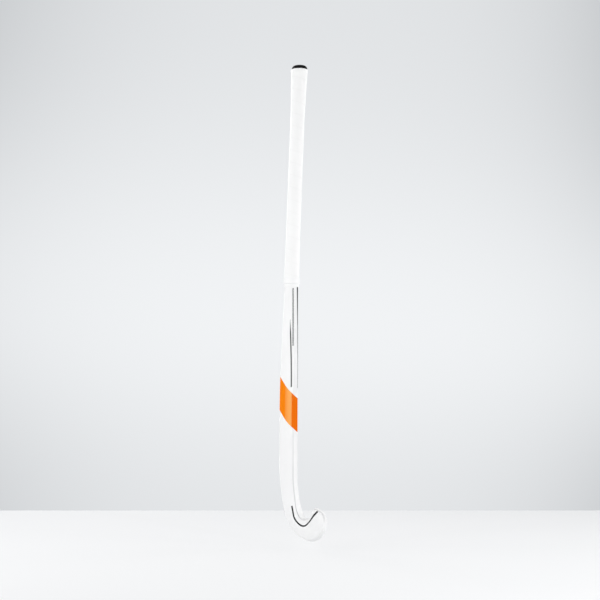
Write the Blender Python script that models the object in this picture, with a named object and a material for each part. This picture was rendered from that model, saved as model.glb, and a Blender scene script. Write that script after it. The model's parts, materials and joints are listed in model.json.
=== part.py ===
# Indoor hockey stick, standing on its head with the handle up.
# Metres. +Z runs up the handle, +X from the shaft towards the toe, and the flat playing face looks along +Y.
# Every piece is worked out about the shaft's axis, and an empty then puts the footprint's centre on the origin.

import math

import bmesh
import bpy
import numpy as np

# Overall
STICK_LENGTH = 0.927
CLEARANCE = 0.0003

# Bow of the shaft: how far its middle lies behind the line from face to butt, and where
BOW_DEPTH = 0.006
BOW_START = 0.080
BOW_PEAK = 0.300

# Shaft above the head, and the handle under its grip
BLADE_WIDTH = 0.0387
BLADE_THICKNESS = 0.0175
HANDLE_WIDTH = 0.0251
HANDLE_THICKNESS = 0.0229
TAPER_TOP = 0.630
TAPER_BOTTOM = 0.287
ROUND_TOP = 0.500
ROUND_BOTTOM = 0.220
FLARE_LENGTH = 0.125
FLARE_GROWTH = 0.0054

# Edges of the flat-faced section: face corner, side wall, and the crease at the rounded back.
# The crease turns as far as its own angle before the crown starts. A corner takes at most its share
# of the half thickness, so that it still fits inside a thick wall. Towards the toe's end the back is
# rounder: past its share of the head's stations, the side wall falls to a height of its own.
FACE_CORNER = 0.003
CORNER_SHARE = 0.8
BACK_CORNER = 0.0025
BACK_CORNER_TURN = math.radians(70)
SIDE_HEIGHT = 0.0135
SIDE_DRAFT = 0.0027
TOE_SIDE_HEIGHT = 0.0095
TOE_SIDE_START = 0.45

# Heel and sole, followed from the shaft round to the toe
HEEL_START_RADIUS = 0.290
HEEL_START_TURN = math.radians(20)
HEEL_RADIUS = 0.0755
HEEL_TURN = math.radians(55)
SOLE_RADIUS = 0.0364
SOLE_TURN = math.radians(101)

# Throat, followed from the shaft round to the toe
THROAT_HEIGHT = 0.0427
THROAT_START_RADIUS = 0.207
THROAT_START_TURN = math.radians(17)
THROAT_LEAD_RADIUS = 0.0695
THROAT_LEAD_TURN = math.radians(20)
THROAT_RADIUS = 0.0107
THROAT_TURN = math.radians(112)

# Toe end: how far it rises past the head's last full section, and how square its two shoulders are
TOE_RISE = 0.0203
TOE_OUTER_POWER = 2.2
TOE_INNER_POWER = 5.5

# Laminate shell, its two inner sleeves, the foam in the head and the plug in the butt
SHELL_WALL = 0.0024
SLEEVE_WALL = 0.0009
HEAD_TOP_MARGIN = 0.010
CORE_RISE = 0.020
PLUG_LENGTH = 0.060
SHOULDER_LENGTH = 0.018

# Butt cap: flat top, well-rounded rim that stands a little out over the handle, and a thin skirt
# let into the end of the shell
CAP_HEIGHT = 0.0078
CAP_CORNER = 0.0070
CAP_LIP = 0.0005
SKIRT_LENGTH = 0.016
SKIRT_WALL = 0.0010

# Cushion tape wound round the handle, and the band that holds its lower end
GRIP_BOTTOM = 0.494
TAPE_THICKNESS = 0.0015
TAPE_PITCH = 0.0244
TAPE_SEAM = 0.0006
TAPE_TIP_WIDTH = 0.004
TAPE_BEVEL = 0.0012
TAPE_EDGE = 0.0005
BAND_THICKNESS = 0.0005
BAND_LAP = 0.010
BAND_TAIL = 0.007

# Mesh density: points of a half section, sides of a ring, steps of each leg of the head's outlines,
# least step between two rings, and the angle past which an edge is drawn sharp
PROFILE_POINTS = 13
RING_SIDES = 2 * (PROFILE_POINTS - 1)
HEEL_STEPS = (5, 6, 7)
THROAT_STEPS = (5, 3, 10)
TOE_STEPS = 10
RIM_STEPS = 4
LEAST_STEP = 0.001
SHARP_ANGLE = math.radians(35)

GRIP_TOP = STICK_LENGTH - CAP_HEIGHT


def smoothstep(value, start, end):
    # 0 at start, 1 at end, level at both
    u = np.clip((value - start) / (end - start), 0, 1)
    return u * u * (3 - 2 * u)


def bow_offset(z):
    # Level over the head, a smooth fall to the peak, then a parabola back to the butt
    below = smoothstep(z, BOW_START, BOW_PEAK)
    above = 1 - (np.clip(z - BOW_PEAK, 0, None) / (STICK_LENGTH - BOW_PEAK)) ** 2
    return -BOW_DEPTH * np.where(z < BOW_PEAK, below, above)


def flare(z):
    # The handle widens towards the butt as the square of the height above the flare's start
    return FLARE_GROWTH * (np.clip(z - (GRIP_TOP - FLARE_LENGTH), 0, None) / FLARE_LENGTH) ** 2


def shaft_width(z):
    blade = smoothstep(z, TAPER_TOP, TAPER_BOTTOM)
    return HANDLE_WIDTH + (BLADE_WIDTH - HANDLE_WIDTH) * blade + flare(z)


def shaft_thickness(z):
    blade = smoothstep(z, TAPER_TOP, TAPER_BOTTOM)
    return HANDLE_THICKNESS + (BLADE_THICKNESS - HANDLE_THICKNESS) * blade + flare(z)


def half_profile(reach, thickness, roundness, inset, side_height=SIDE_HEIGHT):
    # Half of a cross-section, from the middle of the face out to the rim and back to the middle of the back.
    # First number: distance out from the centreline. Second: depth, + towards the face.
    h = reach - inset
    half_t = thickness / 2 - inset
    corner = min(FACE_CORNER, CORNER_SHARE * half_t)
    crease_y = half_t * (1 - 2 * side_height / thickness)
    flat = []
    for share in np.linspace(0, 1, 3):
        flat.append((share * (h - corner), half_t))
    for angle in np.linspace(math.pi / 2, 0, 4)[1:]:
        flat.append((h - corner + corner * math.cos(angle), half_t - corner + corner * math.sin(angle)))
    flat.append((h - SIDE_DRAFT / 2, (half_t - corner + crease_y) / 2))
    lean = math.atan2(SIDE_DRAFT, side_height - FACE_CORNER)
    centre_x = h - SIDE_DRAFT - BACK_CORNER * math.cos(lean)
    centre_y = crease_y + BACK_CORNER * math.sin(lean)
    for angle in -np.linspace(lean, BACK_CORNER_TURN, 3):
        flat.append((centre_x + BACK_CORNER * math.cos(angle), centre_y + BACK_CORNER * math.sin(angle)))
    edge_x, edge_y = flat[-1]
    for share in np.linspace(1, 0, 4)[1:]:
        flat.append((edge_x * share, edge_y - (half_t + edge_y) * (1 - share ** 2)))
    around = np.linspace(0, math.pi, PROFILE_POINTS)
    oval = np.stack([h * np.sin(around), half_t * np.cos(around)], 1)
    return roundness * oval + (1 - roundness) * np.array(flat)


def walk_outline(start, legs):
    # Points along arcs that turn towards the toe, from a start that heads straight down.
    # A leg is its radius, its turn and its number of steps. Also returns the last direction.
    points = [np.array(start)]
    heading = 0.0
    for radius, turn, steps in legs:
        x, z = points[-1]
        for angle in heading + turn * np.arange(1, steps + 1) / steps:
            across = radius * (math.cos(heading) - math.cos(angle))
            down = radius * (math.sin(angle) - math.sin(heading))
            points.append(np.array((x + across, z - down)))
        heading += turn
    return np.array(points), np.array((math.sin(heading), -math.cos(heading)))


def head_outlines():
    # Heel side from the shaft round the sole, and throat side from the shaft round the throat,
    # with as many points each, so that they pair up across the head
    heel, heel_way = walk_outline((-BLADE_WIDTH / 2, 0), (
        (HEEL_START_RADIUS, HEEL_START_TURN, HEEL_STEPS[0]),
        (HEEL_RADIUS, HEEL_TURN, HEEL_STEPS[1]),
        (SOLE_RADIUS, SOLE_TURN, HEEL_STEPS[2]),
    ))
    throat, throat_way = walk_outline((BLADE_WIDTH / 2, 0), (
        (THROAT_START_RADIUS, THROAT_START_TURN, THROAT_STEPS[0]),
        (THROAT_LEAD_RADIUS, THROAT_LEAD_TURN, THROAT_STEPS[1]),
        (THROAT_RADIUS, THROAT_TURN, THROAT_STEPS[2]),
    ))
    heel[:, 1] -= heel[:, 1].min()
    throat[:, 1] += THROAT_HEIGHT - throat[:, 1].min()
    return heel, heel_way, throat, throat_way


HEEL, HEEL_WAY, THROAT, THROAT_WAY = head_outlines()
HEAD_TOP = max(HEEL[0, 1], THROAT[0, 1]) + HEAD_TOP_MARGIN
CORE_TOP = HEAD_TOP + CORE_RISE
PLUG_BOTTOM = GRIP_TOP - PLUG_LENGTH
SHAFT_HEIGHTS = np.sort(np.concatenate((
    np.linspace(HEAD_TOP, TAPER_BOTTOM, 4),
    np.linspace(TAPER_BOTTOM, TAPER_TOP, 12)[1:],
    np.linspace(TAPER_TOP, GRIP_TOP - FLARE_LENGTH, 5)[1:-1],
    np.linspace(GRIP_TOP - FLARE_LENGTH, PLUG_BOTTOM - SHOULDER_LENGTH, 4),
    np.linspace(PLUG_BOTTOM - SHOULDER_LENGTH, PLUG_BOTTOM, 3)[1:],
    np.linspace(PLUG_BOTTOM, GRIP_TOP, 5)[1:],
)))


def heights_between(bottom, top):
    # The shared heights inside the range, none closer than the least step to another, with its two ends
    heights = [bottom]
    for height in SHAFT_HEIGHTS:
        if heights[-1] + LEAST_STEP < height < top - LEAST_STEP:
            heights.append(height)
    return np.array(heights + [top])


def cavity_inset(z):
    # The hollow keeps one wall to the shaft's surface, and narrows under the cap's skirt
    shoulder = smoothstep(z, PLUG_BOTTOM - SHOULDER_LENGTH, PLUG_BOTTOM)
    return SHELL_WALL + (SKIRT_WALL + CLEARANCE) * shoulder


def place(centre, way, profile):
    # Puts a profile's distance and depth on a station, and adds the bow at each point's own height
    x = centre[0] + profile[:, 0] * way[0]
    z = centre[1] + profile[:, 0] * way[1]
    return np.stack((x, profile[:, 1] + bow_offset(z), z), 1)


def join_halves(toe_side, heel_side):
    # One closed ring: face, toe side, back, heel side
    return np.concatenate((toe_side, heel_side[-2:0:-1]))


def shaft_ring(z, inset, size_height=None):
    # The shaft's level section at a height, moved in by the inset or out where that is negative
    at = z if size_height is None else size_height
    profile = half_profile(
        shaft_width(at) / 2, shaft_thickness(at), smoothstep(at, ROUND_BOTTOM, ROUND_TOP), inset
    )
    return join_halves(place((0, z), (1, 0), profile), place((0, z), (-1, 0), profile))


def head_ring(index, inset):
    # The section across the head that joins a heel point to the throat point of the same number
    heel, throat = HEEL[index], THROAT[index]
    centre = (heel + throat) / 2
    reach = np.linalg.norm(throat - heel) / 2
    way = (throat - heel) / (2 * reach)
    toeward = smoothstep(index / (len(HEEL) - 1), TOE_SIDE_START, 1)
    side_height = SIDE_HEIGHT + (TOE_SIDE_HEIGHT - SIDE_HEIGHT) * toeward
    profile = half_profile(reach, BLADE_THICKNESS, 0, inset, side_height)
    return join_halves(place(centre, way, profile), place(centre, -way, profile))


def toe_profiles(inset):
    # Half-profiles that fan round the toe from the throat side to the heel side. The rim is a rounded
    # end whose height follows the sole's and the throat's last directions, squarer at the throat's side.
    centre = (HEEL[-1] + THROAT[-1]) / 2
    profiles = []
    for angle in math.pi * np.arange(1, TOE_STEPS) / TOE_STEPS:
        power = TOE_INNER_POWER if angle < math.pi / 2 else TOE_OUTER_POWER
        side = math.copysign(abs(math.cos(angle)) ** (2 / power), math.cos(angle))
        rise = math.sin(angle) ** (2 / power)
        way = THROAT_WAY + (HEEL_WAY - THROAT_WAY) * angle / math.pi
        rim = side * (THROAT[-1] - centre) + rise * TOE_RISE * way / np.linalg.norm(way)
        reach = np.linalg.norm(rim)
        profile = half_profile(reach, BLADE_THICKNESS, 0, inset, TOE_SIDE_HEIGHT)
        profiles.append(place(centre, rim / reach, profile))
    return profiles


def add_ring(bm, points):
    return [bm.verts.new(point) for point in points]


def bridge(bm, ring, next_ring):
    # Quads between two closed rings of as many points
    for a in range(len(ring)):
        b = (a + 1) % len(ring)
        bm.faces.new((ring[a], ring[b], next_ring[b], next_ring[a]))


def bridge_all(bm, rings):
    for ring, next_ring in zip(rings, rings[1:]):
        bridge(bm, ring, next_ring)


def add_limb(bm, rings, inset):
    # Skin down the shaft's rings, across the head and round the toe. Returns the first ring.
    loops = [add_ring(bm, ring) for ring in rings]
    loops += [add_ring(bm, head_ring(index, inset)) for index in range(len(HEEL))]
    bridge_all(bm, loops)
    last = loops[-1]
    back = PROFILE_POINTS - 1
    fan = [last[:back + 1]]
    for profile in toe_profiles(inset):
        fan.append([last[0]] + add_ring(bm, profile[1:-1]) + [last[back]])
    fan.append([last[0]] + last[:back:-1] + [last[back]])
    for edge, next_edge in zip(fan, fan[1:]):
        bm.faces.new((edge[0], edge[1], next_edge[1]))
        for k in range(1, back - 1):
            bm.faces.new((edge[k], edge[k + 1], next_edge[k + 1], next_edge[k]))
        bm.faces.new((edge[back - 1], edge[back], next_edge[back - 1]))
    return loops[0]


def make_material(name, colour, roughness, metallic=0.0):
    material = bpy.data.materials.new(name)
    material.use_nodes = True
    shader = material.node_tree.nodes["Principled BSDF"]
    shader.inputs["Base Color"].default_value = (*colour, 1)
    shader.inputs["Roughness"].default_value = roughness
    shader.inputs["Metallic"].default_value = metallic
    return material


def finish_piece(bm, name, material, parent):
    # Turns the faces outwards and shades the piece smooth, with its real edges sharp
    bmesh.ops.recalc_face_normals(bm, faces=bm.faces)
    mesh = bpy.data.meshes.new(name)
    bm.to_mesh(mesh)
    bm.free()
    mesh.materials.append(material)
    mesh.shade_smooth()
    mesh.set_sharp_from_angle(angle=SHARP_ANGLE)
    piece = bpy.data.objects.new(name, mesh)
    piece.parent = parent
    bpy.context.collection.objects.link(piece)
    return piece


def make_shell(parent):
    # Laminate moulding: shaft and head in one, hollow from the butt to the toe
    bm = bmesh.new()
    top = GRIP_TOP - CLEARANCE
    ledge = GRIP_TOP - SKIRT_LENGTH - CLEARANCE
    spigot = SKIRT_WALL + CLEARANCE
    rings = [shaft_ring(z, spigot) for z in heights_between(ledge, top)[::-1]]
    rings += [shaft_ring(z, 0) for z in heights_between(HEAD_TOP, ledge)[::-1]]
    outer_mouth = add_limb(bm, rings, 0)
    hollow = [shaft_ring(z, cavity_inset(z)) for z in heights_between(HEAD_TOP, top)[::-1]]
    inner_mouth = add_limb(bm, hollow, SHELL_WALL)
    bridge(bm, outer_mouth, inner_mouth)
    white = make_material("white_lacquer", (0.86, 0.86, 0.87), 0.25)
    return finish_piece(bm, "composite_shell", white, parent)


def make_head_core(parent):
    # Rigid foam that fills the head and the foot of the shaft
    bm = bmesh.new()
    inset = SHELL_WALL + CLEARANCE
    rings = [shaft_ring(z, inset) for z in heights_between(HEAD_TOP, CORE_TOP)[::-1]]
    bm.faces.new(add_limb(bm, rings, inset))
    foam = make_material("foam_core", (0.80, 0.72, 0.50), 0.9)
    return finish_piece(bm, "head_foam_core", foam, parent)


def make_sleeve(parent, name, side):
    # Half-round tube on one side of the shaft's hollow. Its flat wall is half of the inner rib.
    bm = bmesh.new()
    loops = []
    for z in heights_between(CORE_TOP + CLEARANCE, PLUG_BOTTOM - CLEARANCE):
        pair = []
        for wall in (0, SLEEVE_WALL):
            inset = cavity_inset(z) + CLEARANCE + wall
            profile = half_profile(
                shaft_width(z) / 2, shaft_thickness(z), smoothstep(z, ROUND_BOTTOM, ROUND_TOP), inset
            )
            profile[:, 0] = np.maximum(profile[:, 0], CLEARANCE / 2 + wall)
            pair.append(add_ring(bm, place((0, z), (side, 0), profile)))
        loops.append(pair)
    bridge_all(bm, [outer for outer, bore in loops])
    bridge_all(bm, [bore for outer, bore in loops])
    for outer, bore in (loops[0], loops[-1]):
        bridge(bm, outer, bore)
    laminate = make_material("black_laminate", (0.03, 0.03, 0.032), 0.5)
    return finish_piece(bm, name, laminate, parent)


def make_plug(parent):
    # Solid plug glued into the butt, level with the end of the shell
    bm = bmesh.new()
    heights = heights_between(PLUG_BOTTOM, GRIP_TOP - CLEARANCE)
    loops = [add_ring(bm, shaft_ring(z, cavity_inset(z) + CLEARANCE)) for z in heights]
    bridge_all(bm, loops)
    bm.faces.new(loops[0])
    bm.faces.new(loops[-1])
    foam = make_material("plug_foam", (0.70, 0.62, 0.45), 0.8)
    return finish_piece(bm, "handle_end_plug", foam, parent)


def make_cap(parent):
    # Cap over the butt: flat top, rounded rim inside the tape's outer face, and a thin skirt under the tape
    bm = bmesh.new()
    rings = []
    for angle in np.linspace(math.pi / 2, 0, RIM_STEPS + 1):
        inset = CAP_CORNER * (1 - math.cos(angle)) - CAP_LIP
        z = STICK_LENGTH - CAP_CORNER * (1 - math.sin(angle))
        rings.append(shaft_ring(z, inset, GRIP_TOP))
    rings.append(shaft_ring(GRIP_TOP, -CAP_LIP))
    skirt = heights_between(GRIP_TOP - SKIRT_LENGTH, GRIP_TOP)
    rings += [shaft_ring(z, 0) for z in skirt[::-1]]
    rings += [shaft_ring(z, SKIRT_WALL) for z in skirt]
    loops = [add_ring(bm, ring) for ring in rings]
    bridge_all(bm, loops)
    bm.faces.new(loops[0])
    bm.faces.new(loops[-1])
    black = make_material("cap_rubber", (0.012, 0.012, 0.013), 0.55)
    return finish_piece(bm, "butt_cap", black, parent)


def tape_edges():
    # Upper and lower edge of the wound tape at each step of its turn, both ends cut to lie level.
    # The lower edge falls one pitch a turn. The upper edge stays a seam below the turn before.
    top = GRIP_TOP - CLEARANCE
    lower, upper = [], []
    step = 0
    while True:
        low = max(top - TAPE_TIP_WIDTH - TAPE_PITCH * step / RING_SIDES, GRIP_BOTTOM)
        if step < RING_SIDES - 1:
            high = top
        else:
            high = lower[max(step - RING_SIDES, 0)] - TAPE_SEAM
        if high < GRIP_BOTTOM + TAPE_TIP_WIDTH:
            break
        lower.append(low)
        upper.append(high)
        step += 1
    return np.array(lower), np.array(upper)


def handle_point(step, z, outset):
    # A point on the handle's surface, moved out. The steps go round by the heel side, the back
    # and the toe side, with one step for each side of a ring.
    index = step % RING_SIDES
    return shaft_ring(z, -outset)[-index]


def make_tape(parent):
    # Cushion tape as one unbroken strip: each step is a flat hexagon with bevelled edges
    bm = bmesh.new()
    lower, upper = tape_edges()
    loops = []
    thin = CLEARANCE + TAPE_EDGE
    full = CLEARANCE + TAPE_THICKNESS
    for step, (low, high) in enumerate(zip(lower, upper)):
        corners = (
            (low, CLEARANCE), (low, thin), (low + TAPE_BEVEL, full),
            (high - TAPE_BEVEL, full), (high, thin), (high, CLEARANCE),
        )
        loops.append(add_ring(bm, [handle_point(step, z, outset) for z, outset in corners]))
    bridge_all(bm, loops)
    bm.faces.new(loops[0])
    bm.faces.new(loops[-1])
    edge = np.array([[tuple(loop[1].co), tuple(loop[4].co)] for loop in loops])
    gaps = np.linalg.norm(edge[:-RING_SIDES, 0] - edge[RING_SIDES:, 1], axis=1)
    print(f"wound tape: {len(loops) / RING_SIDES:.1f} turns, least gap to itself {gaps.min() * 1000:.2f} mm")
    white = make_material("grip_tape", (0.88, 0.88, 0.87), 0.6)
    return finish_piece(bm, "grip_tape", white, parent)


def make_band(parent):
    # Thin band over the tape's lower end, stepping down on to the shaft
    bm = bmesh.new()
    over_tape = 2 * CLEARANCE + TAPE_THICKNESS
    step_top = GRIP_BOTTOM - CLEARANCE
    stations = (
        (GRIP_BOTTOM + BAND_LAP, over_tape),
        (step_top, over_tape),
        (step_top - TAPE_THICKNESS, CLEARANCE),
        (GRIP_BOTTOM - BAND_TAIL, CLEARANCE),
    )
    rings = [shaft_ring(z, -outset - BAND_THICKNESS) for z, outset in stations]
    rings += [shaft_ring(z, -outset) for z, outset in stations[::-1]]
    loops = [add_ring(bm, ring) for ring in rings]
    bridge_all(bm, loops + loops[:1])
    white = make_material("band_film", (0.87, 0.87, 0.88), 0.4)
    return finish_piece(bm, "finishing_band", white, parent)


def main():
    for old in list(bpy.data.objects):
        bpy.data.objects.remove(old)
    stick = bpy.data.objects.new("stick", None)
    bpy.context.collection.objects.link(stick)
    pieces = [
        make_shell(stick),
        make_head_core(stick),
        make_sleeve(stick, "inner_sleeve_heel_side", -1),
        make_sleeve(stick, "inner_sleeve_toe_side", 1),
        make_plug(stick),
        make_cap(stick),
        make_tape(stick),
        make_band(stick),
    ]
    corners = np.array([corner[:] for piece in pieces for corner in piece.bound_box])
    low, high = corners.min(0), corners.max(0)
    stick.location = (-(low[0] + high[0]) / 2, -(low[1] + high[1]) / 2, -low[2])


main()
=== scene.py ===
# Looks of an indoor hockey stick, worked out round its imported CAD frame.
# Metres. +Z runs up the handle, +X from the shaft towards the toe, and the playing face looks along +Y.
import json
import math

import bmesh
import bpy
import numpy as np
from mathutils import Matrix, Vector


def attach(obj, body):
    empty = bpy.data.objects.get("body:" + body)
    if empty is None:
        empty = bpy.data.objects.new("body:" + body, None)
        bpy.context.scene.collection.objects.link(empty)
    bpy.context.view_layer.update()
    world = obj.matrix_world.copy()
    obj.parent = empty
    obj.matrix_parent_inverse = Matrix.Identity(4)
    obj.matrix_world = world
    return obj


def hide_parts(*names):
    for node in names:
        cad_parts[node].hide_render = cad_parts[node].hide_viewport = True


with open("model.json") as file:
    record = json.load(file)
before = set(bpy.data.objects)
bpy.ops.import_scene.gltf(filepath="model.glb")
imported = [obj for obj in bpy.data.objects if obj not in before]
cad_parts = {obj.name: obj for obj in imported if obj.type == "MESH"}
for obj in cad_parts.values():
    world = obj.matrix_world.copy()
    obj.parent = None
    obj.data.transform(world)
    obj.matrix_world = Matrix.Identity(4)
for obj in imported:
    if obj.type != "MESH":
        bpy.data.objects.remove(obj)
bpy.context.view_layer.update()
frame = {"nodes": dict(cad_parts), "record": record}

print("frame loaded,", len(frame["nodes"]), "CAD nodes")

# The stick's own sizes, as in the CAD. A leg of an outline is its radius, its turn in degrees and its steps.
stick = {
    "length": 0.927,
    "gap": 0.0003,
    "bowDepth": 0.006, "bowStart": 0.080, "bowPeak": 0.300,
    "bladeWidth": 0.0387, "bladeThickness": 0.0175,
    "handleWidth": 0.0251, "handleThickness": 0.0229,
    "taperTop": 0.630, "taperBottom": 0.287,
    "roundTop": 0.500, "roundBottom": 0.220,
    "flareLength": 0.125, "flareGrowth": 0.0054,
    "faceCorner": 0.003, "cornerShare": 0.8,
    "backCorner": 0.0025, "backCornerTurn": math.radians(70),
    "sideHeight": 0.0135, "sideDraft": 0.0027,
    "toeSideHeight": 0.0095, "toeSideStart": 0.45,
    "heelLegs": ((0.290, 20, 5), (0.0755, 55, 6), (0.0364, 101, 7)),
    "throatLegs": ((0.207, 17, 5), (0.0695, 20, 3), (0.0107, 112, 10)),
    "throatHeight": 0.0427,
    "toeRise": 0.0203, "toeOuterPower": 2.2, "toeInnerPower": 5.5,
    "headTopMargin": 0.010,
    "capHeight": 0.0078,
    "gripBottom": 0.494,
}
# Ring places where each zone of the half section ends, from the face's middle round to the back's
faceEnd, faceCornerEnd, sideEnd, backCornerEnd, ringEnd = 2, 5, 7, 9, 12
gripTop = stick["length"] - stick["capHeight"]
flareStart = gripTop - stick["flareLength"]

# The CAD stands on the middle of its footprint. The butt's mount tells where the shaft's axis went.
mountPlaces = {mount["name"]: mount["pos_m"] for mount in frame["record"]["mounts"]}
axisShift = np.array((mountPlaces["butt_end"][0], mountPlaces["butt_end"][1], 0.0))


# Shape of the stick

def smoothStep(value, start, end):
    # 3u^2 - 2u^3 of how far the value is from start to end
    u = np.clip((value - start) / (end - start), 0, 1)
    return u * u * (3 - 2 * u)


def bowOffset(z):
    # A smooth fall from bow start to bow peak, then a parabola back to nought at the butt
    below = smoothStep(z, stick["bowStart"], stick["bowPeak"])
    above = 1 - (np.clip(z - stick["bowPeak"], 0, None) / (stick["length"] - stick["bowPeak"])) ** 2
    return -stick["bowDepth"] * np.where(z < stick["bowPeak"], below, above)


def shaftSize(z, blade, handle):
    # From the handle's size to the blade's by smoothStep, plus the butt's flare, which grows as a square
    flare = stick["flareGrowth"] * (np.clip(z - flareStart, 0, None) / stick["flareLength"]) ** 2
    return handle + (blade - handle) * smoothStep(z, stick["taperTop"], stick["taperBottom"]) + flare


def halfSection(place, reach, thickness, roundness, inset, wall=stick["sideHeight"]):
    # How far out and how deep a point of the cross-section lies, by its ring place: flat face, face corner
    # arc, straight side wall, back corner arc, and the crown, whose depth falls as the square of the
    # distance out. Roundness blends all of it with an ellipse.
    place, reach, thickness, roundness, inset, wall = np.broadcast_arrays(
        place, reach, thickness, roundness, inset, wall)
    h = reach - inset
    half = thickness / 2 - inset
    corner = np.minimum(stick["faceCorner"], stick["cornerShare"] * half)
    crease = half * (1 - 2 * wall / thickness)
    lean = np.arctan2(stick["sideDraft"], wall - stick["faceCorner"])
    bend, lastTurn = stick["backCorner"], stick["backCornerTurn"]
    bendX = h - stick["sideDraft"] - bend * np.cos(lean)
    bendY = crease + bend * np.sin(lean)
    edgeX = bendX + bend * math.cos(lastTurn)
    edgeY = bendY - bend * math.sin(lastTurn)
    faceTurn = math.pi / 2 * (faceCornerEnd - place) / (faceCornerEnd - faceEnd)
    backTurn = lean + (place - sideEnd) / (backCornerEnd - sideEnd) * (lastTurn - lean)
    down = (place - faceCornerEnd) / (sideEnd - faceCornerEnd)
    share = (ringEnd - place) / (ringEnd - backCornerEnd)
    zones = [place <= faceEnd, place <= faceCornerEnd, place <= sideEnd, place <= backCornerEnd]
    out = np.select(zones, [
        place / faceEnd * (h - corner),
        h - corner + corner * np.cos(faceTurn),
        h - stick["sideDraft"] * down,
        bendX + bend * np.cos(backTurn),
    ], edgeX * share)
    depth = np.select(zones, [
        half,
        half - corner + corner * np.sin(faceTurn),
        (half - corner) * (1 - down) + crease * down,
        bendY - bend * np.sin(backTurn),
    ], edgeY - (half + edgeY) * (1 - share ** 2))
    around = math.pi * place / ringEnd
    out = roundness * h * np.sin(around) + (1 - roundness) * out
    depth = roundness * half * np.cos(around) + (1 - roundness) * depth
    return out, depth


def shaftSection(place, z, inset):
    # The half section at a height, with its width and thickness, and rounder towards the handle
    return halfSection(
        place,
        shaftSize(z, stick["bladeWidth"], stick["handleWidth"]) / 2,
        shaftSize(z, stick["bladeThickness"], stick["handleThickness"]),
        smoothStep(z, stick["roundBottom"], stick["roundTop"]),
        inset,
    )


def shaftPoints(place, side, z, inset, sizeHeight=None):
    # Points of the shaft at ring places and heights, with the size of another height where one is given.
    # Side is 1 towards the toe and -1 towards the heel.
    out, depth = shaftSection(place, z if sizeHeight is None else sizeHeight, inset)
    x, y, z = np.broadcast_arrays(side * out, depth + bowOffset(z), z)
    return np.stack((x, y, z), -1) + axisShift


def walkOutline(startX, legs, fine):
    # Arc after arc: radius r from heading a to heading b moves r(cos a - cos b) across and
    # r(sin b - sin a) down
    points, heading = [np.array([[startX, 0.0]])], 0.0
    for radius, turn, steps in legs:
        angle = heading + math.radians(turn) * np.arange(1, steps * fine + 1) / (steps * fine)
        across = radius * (math.cos(heading) - np.cos(angle))
        fall = radius * (np.sin(angle) - math.sin(heading))
        points.append(points[-1][-1] + np.stack((across, -fall), -1))
        heading += math.radians(turn)
    return np.concatenate(points), np.array((math.sin(heading), -math.cos(heading)))


def headOutlines(fine):
    # Heel and sole, and the throat, with as many points each, so that they pair up across the head
    heel, heelWay = walkOutline(-stick["bladeWidth"] / 2, stick["heelLegs"], fine)
    throat, throatWay = walkOutline(stick["bladeWidth"] / 2, stick["throatLegs"], fine)
    heel[:, 1] -= heel[:, 1].min()
    throat[:, 1] += stick["throatHeight"] - throat[:, 1].min()
    return heel, heelWay, throat, throatWay


def stationPoints(centre, way, place, side, reach, inset, wall):
    # Sections across the head: each runs out from its centre along its way, and takes the bow at its height
    out, depth = halfSection(place, reach[:, None], stick["bladeThickness"], 0.0, inset, wall)
    flat = centre[:, None, :] + (side * out)[..., None] * way[:, None, :]
    return np.stack((flat[..., 0], depth + bowOffset(flat[..., 1]), flat[..., 1]), -1) + axisShift


def headRows(outlines, place, side, inset):
    # A section across the head at each pair of outline points. The side wall lowers by smoothStep to the toe.
    heel, heelWay, throat, throatWay = outlines
    span = throat - heel
    reach = np.linalg.norm(span, axis=1) / 2
    toeward = smoothStep(np.linspace(0, 1, len(heel)), stick["toeSideStart"], 1)
    wall = stick["sideHeight"] + (stick["toeSideHeight"] - stick["sideHeight"]) * toeward
    way = span / (2 * reach[:, None])
    return stationPoints((heel + throat) / 2, way, place, side, reach, inset, wall[:, None])


def toeFan(outlines, place, inset, steps):
    # Sections that fan round the toe from the throat's side to the heel's. The rim is a superellipse in the
    # angle, (cos, sin) over (cos^p + sin^p)^(1/p), squarer on the throat's side, with the toe's rise as its
    # height.
    heel, heelWay, throat, throatWay = outlines
    phi = np.linspace(0, math.pi, steps + 1)
    power = np.where(phi < math.pi / 2, stick["toeInnerPower"], stick["toeOuterPower"])
    c, s = np.abs(np.cos(phi)), np.sin(phi)
    size = (c ** power + s ** power) ** (1 / power)
    side, rise = np.sign(np.cos(phi)) * c / size, s / size
    angle = np.arctan2(s ** (power / 2), np.sign(np.cos(phi)) * c ** (power / 2))
    way = throatWay + (heelWay - throatWay) * angle[:, None] / math.pi
    way /= np.linalg.norm(way, axis=1)[:, None]
    centre = (heel[-1] + throat[-1]) / 2
    rim = side[:, None] * (throat[-1] - centre) + (rise * stick["toeRise"])[:, None] * way
    reach = np.linalg.norm(rim, axis=1)
    return stationPoints(np.tile(centre, (len(phi), 1)), rim / reach[:, None], place, 1.0, reach, inset,
                         stick["toeSideHeight"])


# Ring places from the face's middle to the back's, close together where the section turns
halfPlaces = np.concatenate((
    np.linspace(0, faceEnd, 9), np.linspace(faceEnd, faceCornerEnd, 13)[1:],
    np.linspace(faceCornerEnd, sideEnd, 7)[1:], np.linspace(sideEnd, backCornerEnd, 13)[1:],
    np.linspace(backCornerEnd, ringEnd, 19)[1:],
))
ringPlaces = np.concatenate((halfPlaces, halfPlaces[-2:0:-1]))
ringSides = np.where(np.arange(len(ringPlaces)) < len(halfPlaces), 1.0, -1.0)


def shaftRows(z, inset, sizeHeight=None):
    # Whole rings of the shaft, one row for each height
    size = None if sizeHeight is None else np.asarray(sizeHeight, float)[..., None]
    return shaftPoints(ringPlaces, ringSides, z[:, None], np.asarray(inset, float)[..., None], size)


# Meshes from grids

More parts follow.
